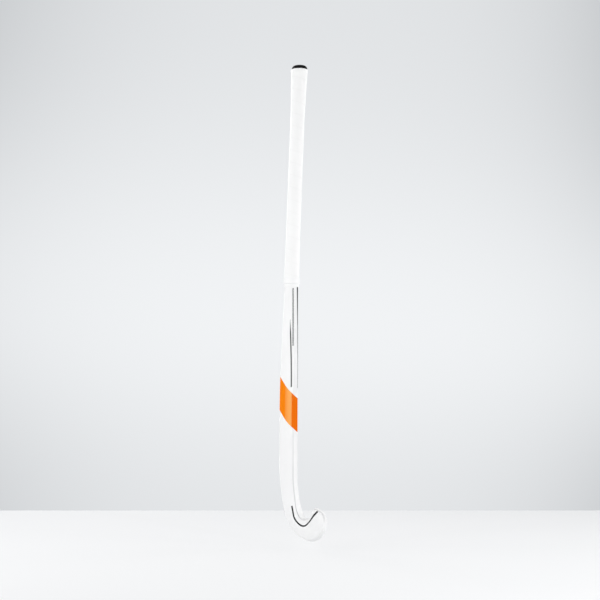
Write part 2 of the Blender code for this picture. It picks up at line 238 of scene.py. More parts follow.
def gridQuads(rows, columns, closed, start=0):
    # Corner numbers of a grid's quads, row by row. A closed grid also joins its last column to its first.
    across = columns if closed else columns - 1
    row, column = np.meshgrid(np.arange(rows - 1), np.arange(across), indexing="ij")
    nextColumn = (column + 1) % columns
    corners = (row * columns + column, row * columns + nextColumn,
               (row + 1) * columns + nextColumn, (row + 1) * columns + column)
    return np.stack(corners, -1).reshape(-1, 4) + start


def endCaps(points):
    # Point numbers of a grid's first and last row
    count = points.shape[1]
    return range(count), range((len(points) - 1) * count, len(points) * count)


mergeDistance, sharpAngle = 2e-6, math.radians(35)


def makePiece(name, grids, caps=(), values=None):
    # One mesh from grids of points, each with whether it closes round, and flat caps of point numbers.
    # Points that fall together are merged, and the faces are then turned outwards.
    mesh = bpy.data.meshes.new(name)
    faces, start = [], 0
    for points, closed in grids:
        faces += gridQuads(points.shape[0], points.shape[1], closed, start).tolist()
        start += points.shape[0] * points.shape[1]
    faces += [list(cap) for cap in caps]
    points = np.concatenate([grid.reshape(-1, 3) for grid, closed in grids])
    mesh.from_pydata(points.tolist(), [], faces)
    for label, numbers in (values or {}).items():
        layer = mesh.attributes.new(label, "FLOAT", "POINT")
        layer.data.foreach_set("value", np.asarray(numbers, np.float32).ravel())
    bm = bmesh.new()
    bm.from_mesh(mesh)
    bmesh.ops.remove_doubles(bm, verts=bm.verts, dist=mergeDistance)
    bmesh.ops.recalc_face_normals(bm, faces=bm.faces)
    bm.to_mesh(mesh)
    bm.free()
    mesh.shade_smooth()
    mesh.set_sharp_from_angle(angle=sharpAngle)
    piece = bpy.data.objects.new(name, mesh)
    bpy.context.scene.collection.objects.link(piece)
    return piece


def standFor(piece, node, material):
    # A finished piece takes the place of a CAD node
    piece.data.materials.append(material)
    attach(piece, "root")
    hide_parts(node)
    print("made", piece.name, "for", node, "-", len(piece.data.polygons), "faces")


# Material helpers

def feed(tree, socket, value):
    # Links a socket to another one, or sets it. A colour of three numbers becomes opaque.
    if isinstance(value, bpy.types.NodeSocket):
        tree.links.new(value, socket)
    elif socket.type == "RGBA" and len(value) == 3:
        socket.default_value = (*value, 1)
    else:
        socket.default_value = value


def addNode(tree, kind, inputs=None, **settings):
    # A shader node with its settings, and each input set to a value or linked to a socket
    node = tree.nodes.new("ShaderNode" + kind)
    for key, value in settings.items():
        setattr(node, key, value)
    for key, value in (inputs or {}).items():
        feed(tree, node.inputs[key], value)
    return node


def calc(tree, operation, first, second=0.0, third=0.0):
    return addNode(tree, "Math", {0: first, 1: second, 2: third}, operation=operation).outputs[0]


def blendColour(tree, mask, first, second, mode="MIX"):
    node = addNode(tree, "Mix", data_type="RGBA", blend_type=mode)
    sockets = {socket.identifier: socket for socket in node.inputs}
    for key, value in (("Factor_Float", mask), ("A_Color", first), ("B_Color", second)):
        feed(tree, sockets[key], value)
    return next(socket for socket in node.outputs if socket.identifier == "Result_Color")


def ramp(tree, value, low, high, lowValue=0.0, highValue=1.0, smooth=False):
    # From low to high, held at both ends. The values there may be sockets.
    return addNode(tree, "MapRange", {
        "Value": value, "From Min": low, "From Max": high, "To Min": lowValue, "To Max": highValue,
    }, interpolation_type="SMOOTHSTEP" if smooth else "LINEAR", clamp=True).outputs["Result"]


def within(tree, distance, halfWidth, soft=0.00008):
    # 1 inside the half width, 0 outside it, with a thin soft edge
    over = calc(tree, "SUBTRACT", calc(tree, "ABSOLUTE", distance), halfWidth)
    return ramp(tree, over, -soft, soft, 1.0, 0.0)


def between(tree, number, low, high, soft=0.0001):
    # 1 from low to high, 0 elsewhere, with thin soft ends
    rising = ramp(tree, number, low - soft, low + soft)
    return calc(tree, "MULTIPLY", rising, ramp(tree, number, high - soft, high + soft, 1.0, 0.0))


def product(tree, *masks):
    # One after the other
    total = masks[0]
    for mask in masks[1:]:
        total = calc(tree, "MULTIPLY", total, mask)
    return total


def levelPlace(tree, axes, way, start):
    # How far a point lies along a level way from its start: x * way x + (y * way y - start)
    fromY = calc(tree, "MULTIPLY_ADD", axes["Y"], way[1], -start)
    return calc(tree, "MULTIPLY_ADD", axes["X"], way[0], fromY)


def dimmed(colour, share):
    # Each part of the colour times the share
    return tuple(share * part for part in colour)


def clouded(tree, marks, settings, key):
    # The settings' colour under that key, shaded in the clouds of handling
    colour = settings[key]
    return blendColour(tree, marks["cloud"], colour, dimmed(colour, settings["cloudShade"]))


def newMaterial(name):
    material = bpy.data.materials.new(name)
    material.use_nodes = True
    tree = material.node_tree
    return material, tree, tree.nodes["Principled BSDF"]


def setShader(tree, shader, inputs):
    # Inputs by name, with spaces left out of the name
    for socket in shader.inputs:
        key = socket.name.replace(" ", "")
        if key in inputs:
            feed(tree, socket, inputs[key])


def objectPlace(tree):
    return addNode(tree, "TexCoord").outputs["Object"]


def objectAxes(tree):
    return addNode(tree, "SeparateXYZ", {"Vector": objectPlace(tree)}).outputs


def attribute(tree, label):
    return addNode(tree, "Attribute", attribute_name=label).outputs["Fac"]


def noise(tree, place, scale, detail=2.0, roughness=0.5):
    inputs = {"Vector": place, "Scale": scale, "Detail": detail, "Roughness": roughness}
    return addNode(tree, "TexNoise", inputs).outputs["Fac"]


def finish(tree, shader, settings, colour, mask, height):
    # Colour, the settings' roughness with its change where the mask is 1, a bump of their strength and
    # distance, and the shader's even values
    roughness = calc(tree, "MULTIPLY_ADD", mask, settings["roughChange"], settings["roughness"])
    strength, distance = settings["bump"]
    bump = addNode(tree, "Bump", {"Height": height, "Strength": strength, "Distance": distance})
    changing = {"BaseColor": colour, "Roughness": roughness, "Normal": bump.outputs["Normal"]}
    setShader(tree, shader, {**changing, **settings["shader"]})


def newGroup(name, inputs, outputs):
    # A node group with named number inputs and outputs, and its two end nodes
    group = bpy.data.node_groups.new(name, "ShaderNodeTree")
    for label, value in inputs.items():
        socket = group.interface.new_socket(name=label, in_out="INPUT", socket_type="NodeSocketFloat")
        socket.default_value = value
    for label in outputs:
        group.interface.new_socket(name=label, in_out="OUTPUT", socket_type="NodeSocketFloat")
    return group, group.nodes.new("NodeGroupInput").outputs, group.nodes.new("NodeGroupOutput").inputs


def useGroup(tree, group, inputs):
    return addNode(tree, "Group", inputs, node_tree=group).outputs


surface = {
    "gritFineness": 2.6, "gritDetail": 3.0,
    "cloudDetail": 5.0, "cloudRoughness": 0.6, "cloudRange": (0.35, 0.68), "speckRange": (0.70, 0.76),
}


def makeGrainGroup():
    # Small pebbles and finer grit between them, both in Object coordinates
    group, given, out = newGroup("surfaceGrain", {"size": 0.001, "gritShare": 0.3}, ["height"])
    scale = calc(group, "DIVIDE", 1.0, given["size"])
    place = objectPlace(group)
    pebble = addNode(group, "TexVoronoi", {"Vector": place, "Scale": scale}, feature="SMOOTH_F1")
    grit = noise(group, place, calc(group, "MULTIPLY", scale, surface["gritFineness"]), surface["gritDetail"])
    raised = calc(group, "MULTIPLY", grit, given["gritShare"])
    group.links.new(calc(group, "SUBTRACT", raised, pebble.outputs["Distance"]), out["height"])
    return group


def makeHandlingGroup():
    # Marks of handling: broad cloudy dulling, and sparse fine specks
    group, given, out = newGroup("handlingMarks", {"cloudSize": 0.05, "speckSize": 0.002}, ["cloud", "speck"])
    place = objectPlace(group)
    cloudScale = calc(group, "DIVIDE", 1.0, given["cloudSize"])
    speckScale = calc(group, "DIVIDE", 1.0, given["speckSize"])
    cloud = noise(group, place, cloudScale, surface["cloudDetail"], surface["cloudRoughness"])
    group.links.new(ramp(group, cloud, *surface["cloudRange"], smooth=True), out["cloud"])
    group.links.new(ramp(group, noise(group, place, speckScale), *surface["speckRange"]), out["speck"])
    return group


grainGroup = makeGrainGroup()
handlingGroup = makeHandlingGroup()

# Moulding: shaft and head

moulding = {
    "white": (0.900, 0.902, 0.905), "sideWhite": (0.835, 0.838, 0.846), "cloudShade": 0.985,
    # The skins: wall, mouth that takes the cap's skirt, shoulder under the plug, and rows of each part
    "wall": 0.0024, "spigotInset": 0.0013, "spigotLength": 0.0163,
    "plugBottom": 0.8592, "shoulder": 0.018,
    "spigotRows": 4, "shaftRows": 150, "innerRows": 60,
    "headFine": 10, "toeSteps": 60, "innerFine": 2, "innerToeSteps": 20,
    # Where the side wall's greyer look comes in and goes out round the ring, where it grows up the stick,
    # and the limits of the toe side's mask
    "sideStart": (3.0, 4.5), "sideEnd": (7.0, 8.0), "sideFade": (0.15, 0.28), "toeHalf": (0.985, 0.995),
    # Orange band: its edges fall by the rise along a level way, and by more before a soft knee.
    # On the toe side it has painted shade on the side wall and a painted highlight beside it, up to these
    # ring places.
    "band": {
        "top": 0.2886, "bottom": 0.2246, "way": (0.763, 0.646), "rise": 0.87,
        "knee": -0.0055, "kneeRise": 0.75, "kneeSoft": 0.010,
        "orange": (0.91, 0.225, 0.0), "pale": (0.945, 0.405, 0.11), "dark": (0.81, 0.150, 0.0),
        "darkEnd": (8.5, 9.4), "paleEnd": (9.6, 13.2),
    },
    # Lines along the shaft: ring places at heights, lower and upper end, and the widths at two heights
    "lines": {
        "edgeLine": {
            "heights": (0.287, 0.364, 0.403, 0.461, 0.481), "places": (4.45, 4.95, 5.00, 5.45, 5.60),
            "ends": (0.290, 0.4865), "widthAt": (0.340, 0.4865), "widths": (0.0019, 0.0042),
            "colour": (0.035, 0.036, 0.038), "toeOnly": False,
        },
        "hatchLine": {
            "heights": (0.373, 0.422, 0.476), "places": (8.65, 8.82, 8.95),
            "ends": (0.372, 0.4840), "widthAt": (0.372, 0.4840), "widths": (0.0032, 0.0032),
            "colour": (0.16, 0.165, 0.17), "toeOnly": True,
            "slope": 0.6, "step": 0.0009, "tick": (0.00018, 0.00030),
        },
        "thinLine": {
            "heights": (0.298, 0.344, 0.383, 0.418), "places": (9.25, 9.52, 9.9, 10.3),
            "ends": (0.292, 0.423), "widthAt": (0.395, 0.423), "widths": (0.0026, 0.0004),
            "colour": (0.035, 0.036, 0.038), "toeOnly": True,
        },
    },
    # Hooked line on the back of the head: where it starts, its first heading from straight down, the length
    # and turn of each leg, the height that it lies below, its width, which grows before the last leg by
    # shares of that leg, its tapered tip, and the ring places where the back starts
    "hook": {
        "colour": (0.035, 0.036, 0.038), "start": (0.0196, 0.0650), "heading": 17.0,
        "legs": ((0.0195, 0), (0.003, 15), (0.0238, 40), (0.015, 66), (0.0175, 0), (0.0200, 22)),
        "step": 0.00025, "below": 0.08,
        "width": 0.0033, "lastWidth": 0.0041, "widen": (1.6, 1.1), "taper": 0.004, "tip": 0.15,
        "back": (7.4, 7.8),
    },
    # Painted shade: a soft grey line along the back corner's bend, strongest at the throat, and nearer the
    # face at the toe's end
    "crease": {
        "grey": (0.40, 0.41, 0.42),
        "low": (0.036, 0.047), "throatHeight": 0.054, "headHeight": 0.080, "shaftHeight": 0.200, "end": 0.330,
        "toe": (0.055, 0.085),
        "place": 6.85, "throatPlace": 7.9, "toePlace": 6.4, "half": 0.65, "throatHalf": 1.10,
        "throat": 0.95, "head": 0.50, "shaft": 0.20, "toeShare": 0.4,
    },
    # Dust and scuffs up to a height, and specks. The dust dulls that much more than the clouds do.
    "wear": {
        "height": 0.012, "scale": 260.0, "detail": 6.0, "range": (0.30, 0.62), "dust": 0.04,
        "dustGrey": (0.45, 0.45, 0.44), "dulling": 20.0, "speck": 0.10, "speckGrey": (0.5, 0.5, 0.5),
    },
    "marks": {"cloudSize": 0.06, "speckSize": 0.0012},
    "peel": (420.0, 2.0, 0.45), "bump": (0.05, 0.0004),
    "roughness": 0.24, "roughChange": 0.06,
    "shader": {"CoatWeight": 0.13, "CoatRoughness": 0.08, "SpecularIORLevel": 0.02},
}


def hookPath():
    # Each leg turns evenly over its length. The path is the running sum of its headings' directions.
    hook = moulding["hook"]
    turns = np.concatenate([
        np.full(round(length / hook["step"]), math.radians(turn) / round(length / hook["step"]))
        for length, turn in hook["legs"]
    ])
    heading = math.radians(hook["heading"]) + np.cumsum(turns)
    way = np.stack((np.sin(heading), -np.cos(heading)), -1)
    return np.array(hook["start"]) + np.cumsum(way, 0) * hook["step"], way


def hookPlace(points):
    # For each point, how far off the hooked line it is and how far along, both in metres
    path, way = hookPath()
    flat = (points - axisShift)[..., (0, 2)].reshape(-1, 2)
    across, along = np.full(len(flat), 1.0), np.full(len(flat), -1.0)
    near = np.flatnonzero(flat[:, 1] < moulding["hook"]["below"])
    squares = ((flat[near, None, :] - path[None, :, :]) ** 2).sum(-1)
    best = squares.argmin(1)
    off = flat[near] - path[best]
    across[near] = off[:, 0] * -way[best, 1] + off[:, 1] * way[best, 0]
    along[near] = best * moulding["hook"]["step"] + (off * way[best]).sum(-1)
    return across, along


def linePlace(heights, line):
    # Distance of each point of the shaft's rows from a line that follows given ring places, measured
    # round the ring
    out, depth = shaftSection(halfPlaces, heights[:, None], 0.0)
    stepOut, stepDeep = (np.diff(part, axis=1, prepend=part[:, :1]) for part in (out, depth))
    girth = np.cumsum(np.hypot(stepOut, stepDeep), 1)
    places = np.interp(heights, line["heights"], line["places"])
    column = np.interp(places, halfPlaces, np.arange(len(halfPlaces)))
    low = np.minimum(column.astype(int), len(halfPlaces) - 2)
    rows = np.arange(len(heights))
    middle = girth[rows, low] + (column - low) * (girth[rows, low + 1] - girth[rows, low])
    away = girth - middle[:, None]
    return np.concatenate((away, away[:, -2:0:-1]), 1)


def makeMoulding():
    # Outer skin, rim of the mouth and inner skin as one closed surface, with both toes closed by fans
    top = gripTop - stick["gap"]
    ledge = gripTop - moulding["spigotLength"]
    outlines = headOutlines(moulding["headFine"])
    headTop = outlines[0][0, 1] + stick["headTopMargin"]
    heights = np.linspace(ledge, headTop, moulding["shaftRows"])
    outer = np.concatenate((
        shaftRows(np.linspace(top, ledge, moulding["spigotRows"]), moulding["spigotInset"]),
        shaftRows(heights, 0.0),
        headRows(outlines, ringPlaces, ringSides, 0.0),
    ))
    innerOutlines = headOutlines(moulding["innerFine"])
    innerHeights = np.linspace(top, headTop, moulding["innerRows"])
    narrow = smoothStep(innerHeights, moulding["plugBottom"] - moulding["shoulder"], moulding["plugBottom"])
    inner = np.concatenate((
        shaftRows(innerHeights, moulding["wall"] + moulding["spigotInset"] * narrow),
        headRows(innerOutlines, ringPlaces, ringSides, moulding["wall"]),
    ))
    skin = np.concatenate((outer[::-1], inner))
    outerFan = toeFan(outlines, halfPlaces, 0.0, moulding["toeSteps"])
    innerFan = toeFan(innerOutlines, halfPlaces, moulding["wall"], moulding["innerToeSteps"])
    grids = [(skin, True), (outerFan, False), (innerFan, False)]

    # Values at the points: ring place, side, and the distances that the printed lines are drawn by
    count = len(ringPlaces)
    fanRows = len(outerFan) + len(innerFan)
    fanCount = fanRows * len(halfPlaces)
    toeSide = np.where(ringSides > 0, 1.0, 0.0)
    values = {
        "ringPlace": np.concatenate((np.tile(ringPlaces, len(skin)), np.tile(halfPlaces, fanRows))),
        "toeSide": np.concatenate((np.tile(toeSide, len(skin)), np.ones(fanCount))),
    }
    first = moulding["spigotRows"]
    for label, line in moulding["lines"].items():
        away = np.ones((len(outer), count))
        away[first:first + len(heights)] = linePlace(heights, line)
        values[label] = np.concatenate((away[::-1].ravel(), np.ones(len(inner) * count + fanCount)))
    points = np.concatenate([grid.reshape(-1, 3) for grid, closed in grids])
    values["hookAcross"], values["hookAlong"] = hookPlace(points)
    return makePiece("mouldedShell", grids, values=values)


def paintWhite(tree, marks, ringPlace, height):
    # White, a little duller in clouds, and greyer on the side walls above the head
    white = clouded(tree, marks, moulding, "white")
    sideWall = product(
        tree,
        ramp(tree, ringPlace, *moulding["sideEnd"], 1.0, 0.0, smooth=True),
        ramp(tree, ringPlace, *moulding["sideStart"], smooth=True),
        ramp(tree, height, *moulding["sideFade"]),
    )
    return blendColour(tree, sideWall, white, moulding["sideWhite"])


def bandMask(tree, axes):
    # 1 where the height, with the falls of the band's edges added, lies between its bottom and top
    band = moulding["band"]
    wayX, wayY = band["way"]
    start = float(axisShift[0]) * wayX + float(axisShift[1]) * wayY + band["knee"]
    across = levelPlace(tree, axes, band["way"], start)
    slant = calc(tree, "MULTIPLY_ADD", across, band["rise"], axes["Z"])
    before = calc(tree, "SMOOTH_MIN", across, 0.0, band["kneeSoft"])
    slant = calc(tree, "MULTIPLY_ADD", before, band["kneeRise"], slant)
    return between(tree, slant, band["bottom"], band["top"])


def paintBand(tree, colour, mask, ringPlace, toeSide):
    # Plain orange on the face and the heel side, and on the toe side painted shade on the side wall and a
    # painted highlight beside it, by the ring place
    band = moulding["band"]
    # Pale orange is a painted highlight near the back corner, and dark orange is painted shade on the side
    # wall
    flank = ramp(tree, ringPlace, *band["paleEnd"], smooth=True)
    orange = blendColour(tree, flank, band["pale"], band["orange"])
    side = ramp(tree, ringPlace, *band["darkEnd"], 1.0, 0.0, smooth=True)
    orange = blendColour(tree, side, orange, band["dark"])
    offFace = ramp(tree, ringPlace, *moulding["sideStart"], smooth=True)
    orange = blendColour(tree, product(tree, toeSide, offFace), band["orange"], orange)
    return blendColour(tree, mask, colour, orange)


def paintLines(tree, colour, offBand, height, toeSide):
    # Edge line on both sides, and on the toe side a line of slanted ticks and a thin line
    for label, line in moulding["lines"].items():
        away = attribute(tree, label)
        width = ramp(tree, height, *line["widthAt"], *(width / 2 for width in line["widths"]))
        mask = product(tree, within(tree, away, width), between(tree, height, *line["ends"]), offBand)
        if line["toeOnly"]:
            mask = product(tree, mask, toeSide)
        if "tick" in line:
            slope = calc(tree, "MULTIPLY_ADD", away, line["slope"], height)
            ticks = ramp(tree, calc(tree, "PINGPONG", slope, line["step"]), *line["tick"])
            mask = product(tree, mask, ticks)
        colour = blendColour(tree, mask, colour, line["colour"])
    return colour


def paintHook(tree, colour, ringPlace):
    # The hooked line, which tapers at its end
    hook = moulding["hook"]
    length = sum(leg for leg, turn in hook["legs"])
    along = attribute(tree, "hookAlong")
    widen = (length - share * hook["legs"][-1][0] for share in hook["widen"])
    width = ramp(tree, along, *widen, hook["width"] / 2, hook["lastWidth"] / 2)
    tip = ramp(tree, along, length - hook["taper"], length, 1.0, hook["tip"])
    line = within(tree, attribute(tree, "hookAcross"), calc(tree, "MULTIPLY", width, tip))
    mask = product(tree, line, between(tree, along, 0.0, length), ramp(tree, ringPlace, *hook["back"]))
    return blendColour(tree, mask, colour, hook["colour"])


def paintCreaseShade(tree, colour, offBand, ringPlace, axes):
    # Painted shade along the back corner's bend. Its place, half width and strength change with the height,
    # and towards the toe it shifts and weakens
    crease, height = moulding["crease"], axes["Z"]
    neck = (crease["throatHeight"], crease["headHeight"])
    toe = [float(axisShift[0]) + x for x in crease["toe"]]
    place = ramp(tree, height, *neck, crease["throatPlace"], crease["place"])
    place = ramp(tree, axes["X"], *toe, place, crease["toePlace"])
    off = calc(tree, "ABSOLUTE", calc(tree, "SUBTRACT", ringPlace, place))
    half = ramp(tree, height, *neck, crease["throatHalf"], crease["half"])
    line = ramp(tree, calc(tree, "DIVIDE", off, half), 0.0, 1.0, 1.0, 0.0, smooth=True)
    strength = calc(
        tree, "ADD",
        ramp(tree, height, crease["headHeight"], crease["shaftHeight"], crease["head"], crease["shaft"]),
        ramp(tree, height, *neck, crease["throat"] - crease["head"], 0.0),
    )
    low = ramp(tree, height, *crease["low"])
    ending = ramp(tree, height, crease["shaftHeight"], crease["end"], 1.0, 0.0)
    weak = ramp(tree, axes["X"], *toe, 1.0, crease["toeShare"])
    mask = product(tree, line, strength, low, ending, weak, offBand)
    return blendColour(tree, mask, colour, crease["grey"])


def paintWear(tree, colour, marks, place, height):
    # Floor dust and faint scuffs on the sole, where the stick drags, and sparse specks
    wear = moulding["wear"]
    low = ramp(tree, height, 0.0, wear["height"], 1.0, 0.0, smooth=True)
    scuff = product(tree, low, noise(tree, place, wear["scale"], wear["detail"]))
    dust = calc(tree, "MULTIPLY", ramp(tree, scuff, *wear["range"]), wear["dust"])
    colour = blendColour(tree, dust, colour, wear["dustGrey"])
    speck = calc(tree, "MULTIPLY", marks["speck"], wear["speck"])
    return blendColour(tree, speck, colour, wear["speckGrey"]), dust


def makeLacquer():
    # White lacquer over the prints, with a faint orange peel
    material, tree, shader = newMaterial("whiteLacquer")
    place = objectPlace(tree)
    axes = objectAxes(tree)
    ringPlace = attribute(tree, "ringPlace")
    toeSide = ramp(tree, attribute(tree, "toeSide"), *moulding["toeHalf"])
    marks = useGroup(tree, handlingGroup, moulding["marks"])
    band = bandMask(tree, axes)
    offBand = calc(tree, "SUBTRACT", 1.0, band)

    colour = paintWhite(tree, marks, ringPlace, axes["Z"])
    colour = paintBand(tree, colour, band, ringPlace, toeSide)
    colour = paintLines(tree, colour, offBand, axes["Z"], toeSide)
    colour = paintHook(tree, colour, ringPlace)
    colour = paintCreaseShade(tree, colour, offBand, ringPlace, axes)
    colour, dust = paintWear(tree, colour, marks, place, axes["Z"])
    dull = calc(tree, "MULTIPLY_ADD", dust, moulding["wear"]["dulling"], marks["cloud"])
    finish(tree, shader, moulding, colour, dull, noise(tree, place, *moulding["peel"]))
    return material


standFor(makeMoulding(), "composite_shell", makeLacquer())

# Cushion tape on the handle

tape = {
    "thickness": 0.0015, "pitch": 0.0244, "seam": 0.00008, "tipWidth": 0.004,
    "bevel": 0.0006, "edge": 0.00135, "crown": 0.00005, "topBevel": 0.0024, "topEdge": 0.0006,
    "stepsPerTurn": 96, "mostTurns": 20, "middlePoints": 7, "bevelPoints": 5,
    "white": (0.905, 0.907, 0.905), "cloudShade": 0.982,
    "dirt": (0.62, 0.61, 0.59), "seamReach": (0.0001, 0.0009), "seamDirt": 0.10, "speckDirt": 0.06,
    "marks": {"cloudSize": 0.045, "speckSize": 0.0010},
    "grain": {"size": 0.0009, "gritShare": 0.35}, "bump": (0.16, 0.0002),
    "roughness": 0.58, "roughChange": -0.08,
    "shader": {"SpecularIORLevel": 0.35, "SheenWeight": 0.08, "SheenRoughness": 0.4},
}


def tapeEdges():
    # The lower edge falls one pitch a turn, and the upper edge stays a seam below the turn before.
    # Both ends are cut level, and the upper edge meets the strip's start where the first turn closes.
    top = gripTop - stick["gap"]
    turns = np.arange(0, tape["mostTurns"] * tape["stepsPerTurn"]) / tape["stepsPerTurn"]

    def lower(turn):
        return np.maximum(top - tape["tipWidth"] - tape["pitch"] * np.maximum(turn, 0), stick["gripBottom"])

    low = lower(turns)
    high = np.where(turns < 1, top, lower(turns - 1) - tape["seam"])
    keep = high >= stick["gripBottom"] + tape["tipWidth"]
    return turns[keep], low[keep], high[keep]


def makeTape():
    # One unbroken strip with rounded edges and a slightly cushioned middle, wound down the handle
    turns, low, high = (numbers[:, None] for numbers in tapeEdges())
    turnAngle = np.linspace(0, math.pi / 2, tape["bevelPoints"] + 1)
    inward, up = 1 - np.cos(turnAngle), np.sin(turnAngle)
    bevel = np.where(turns < 1, tape["topBevel"], tape["bevel"])
    edge = np.where(turns < 1, tape["topEdge"], tape["edge"])
    full = tape["thickness"] - tape["crown"]
    middle = np.linspace(0, 1, tape["middlePoints"] + 2)[1:-1]
    # Across the strip: the low edge's face and quarter round, the crowned middle, and the same at the top
    inside = low * 0
    lowZ = low + tape["bevel"] * inward
    highZ = (high - bevel * inward)[:, ::-1]
    middleZ = lowZ[:, -1:] + (highZ[:, :1] - lowZ[:, -1:]) * middle
    z = np.concatenate((low, lowZ, middleZ, highZ, high), 1)
    lowLift = tape["edge"] + (full - tape["edge"]) * up + inside
    highLift = (edge + (full - edge) * up)[:, ::-1]
    middleLift = full + tape["crown"] * np.sin(math.pi * middle) ** 0.5 + inside
    lift = np.concatenate((inside, lowLift, middleLift, highLift, inside), 1)
    # Around the handle by heel side, back and toe side
    ring = turns % 1 * 2 * ringEnd
    place = np.where(ring <= ringEnd, ring, 2 * ringEnd - ring)
    side = np.where(ring <= ringEnd, -1.0, 1.0)
    points = shaftPoints(place, side, z, -(stick["gap"] + lift))
    values = {"edgeAway": np.minimum(z - low, high - z)}
    return makePiece("cushionTape", [(points, True)], endCaps(points), values)


def makeTapeMaterial():
    # Soft white polyurethane: fine pebbled skin, seams darkened by a little dirt and painted shade, and
    # hand-worn patches
    material, tree, shader = newMaterial("cushionTape")
    marks = useGroup(tree, handlingGroup, tape["marks"])
    seam = ramp(tree, attribute(tree, "edgeAway"), *tape["seamReach"], 1.0, 0.0, smooth=True)
    colour = clouded(tree, marks, tape, "white")
    # The seams take a little dirt and painted shade
    colour = blendColour(tree, calc(tree, "MULTIPLY", seam, tape["seamDirt"]), colour, tape["dirt"])
    speck = calc(tree, "MULTIPLY", marks["speck"], tape["speckDirt"])
    colour = blendColour(tree, speck, colour, tape["dirt"])
    finish(tree, shader, tape, colour, marks["cloud"], useGroup(tree, grainGroup, tape["grain"])["height"])
    return material


standFor(makeTape(), "grip_tape", makeTapeMaterial())

# Butt cap

cap = {
    "corner": 0.0070, "lip": 0.0005, "skirtLength": 0.016, "skirtWall": 0.0010,
    "topInsets": (0.0135, 0.0120, 0.0105), "rimSteps": 16, "skirtRows": 5,
    "grooveInset": 0.0085, "grooveWidth": 0.0009, "grooveDepth": 0.00035, "grooveRows": 9,
    "black": (0.0030, 0.0030, 0.0032), "cloudShade": 1.9, "speck": 0.3, "speckGrey": (0.10, 0.10, 0.10),
    "marks": {"cloudSize": 0.012, "speckSize": 0.0008},
    "grain": {"size": 0.0005, "gritShare": 0.5}, "bump": (0.25, 0.0001),
    "roughness": 0.52, "roughChange": 0.12, "shader": {"SpecularIORLevel": 0.07},
}


def makeCap():
    # Flat top with one ring groove, a parabola across, then the rim: each ring is the butt's section moved in
    # by r(1 - cos a), and lies r(1 - sin a) down. The skirt's outside and inside follow.
    grooveTurn = np.linspace(-1, 1, cap["grooveRows"])
    grooveIn = cap["grooveInset"] + cap["grooveWidth"] / 2 * grooveTurn
    grooveZ = stick["length"] - cap["grooveDepth"] * (1 - grooveTurn ** 2)
    rim = np.linspace(math.pi / 2, 0, cap["rimSteps"] + 1)
    skirt = np.linspace(gripTop, gripTop - cap["skirtLength"], cap["skirtRows"])
    inset = np.concatenate((
        cap["topInsets"], grooveIn[::-1], cap["corner"] * (1 - np.cos(rim)) - cap["lip"], [-cap["lip"]],
        np.zeros(len(skirt)), np.full(len(skirt), cap["skirtWall"]),
    ))
    z = np.concatenate((
        np.full(len(cap["topInsets"]), stick["length"]), grooveZ,
        stick["length"] - cap["corner"] * (1 - np.sin(rim)), [gripTop], skirt, skirt[::-1],
    ))
    points = shaftRows(z, inset, np.minimum(z, gripTop))
    return makePiece("buttCap", [(points, True)], endCaps(points))


def makeRubber():
    # Moulded black rubber with a fine matte grain, a little greyed where it is handled
    material, tree, shader = newMaterial("capRubber")
    marks = useGroup(tree, handlingGroup, cap["marks"])
    colour = clouded(tree, marks, cap, "black")
    speck = calc(tree, "MULTIPLY", marks["speck"], cap["speck"])
    colour = blendColour(tree, speck, colour, cap["speckGrey"])
    finish(tree, shader, cap, colour, marks["cloud"], useGroup(tree, grainGroup, cap["grain"])["height"])
    return material


standFor(makeCap(), "butt_cap", makeRubber())

# Finishing band over the tape's lower end

finishBand = {
    "thickness": 0.0005, "lap": 0.010, "tail": 0.007, "wrapStep": 0.00012,
    "edgeLength": 0.001, "edgeShare": 0.55, "lapRows": 4, "stepRows": 8,
    "white": (0.900, 0.902, 0.904), "cloudShade": 0.98,
    "marks": {"cloudSize": 0.02, "speckSize": 0.0009},
    "stretch": (60.0, 60.0, 420.0), "bump": (0.10, 0.0003),
    "roughness": 0.32, "roughChange": 0.10, "shader": {"SpecularIORLevel": 0.4},
}


def makeBand():
    # Outer stations down over the tape and its step, then inner stations back up. The film thins evenly
    # round one wrap, so that its end shows as a fine step along the handle.
    bottom, gap, edgeLength = stick["gripBottom"], stick["gap"], finishBand["edgeLength"]
    top, end = bottom + finishBand["lap"], bottom - finishBand["tail"]
    overTape = 2 * gap + tape["thickness"]
    stepTop = bottom - gap
    fall = np.linspace(0, 1, finishBand["stepRows"] + 1)[1:]
    lapped = np.linspace(top - edgeLength, stepTop, finishBand["lapRows"])
    z = np.concatenate(([top], lapped, stepTop - tape["thickness"] * fall, [end + edgeLength, end]))
    drop = np.concatenate((
        np.full(len(lapped) + 1, overTape), overTape + (gap - overTape) * fall, [gap, gap],
    ))
    edge = np.ones(len(z))
    edge[0] = edge[-1] = finishBand["edgeShare"]
    wrap = np.linspace(0, finishBand["wrapStep"], len(ringPlaces))
    outer = (drop + finishBand["thickness"] * edge)[:, None] - wrap * edge[:, None]
    inner = np.broadcast_to(drop[::-1, None], outer.shape)
    heights = np.concatenate((z, z[::-1]))
    points = shaftPoints(ringPlaces, ringSides, heights[:, None], -np.concatenate((outer, inner)))
    return makePiece("finishingBand", [(np.concatenate((points, points[:1])), True)])


def makeFilm():
    # Thin glossy film, slightly rippled where it was pulled tight
    material, tree, shader = newMaterial("bandFilm")
    stretch = addNode(tree, "Mapping", {"Vector": objectPlace(tree), "Scale": finishBand["stretch"]})
    ripple = noise(tree, stretch.outputs["Vector"], 1.0)
    marks = useGroup(tree, handlingGroup, finishBand["marks"])
    colour = clouded(tree, marks, finishBand, "white")
    finish(tree, shader, finishBand, colour, ripple, ripple)
    return material


standFor(makeBand(), "finishing_band", makeFilm())

# Inner pieces: the CAD's own meshes with better finishes

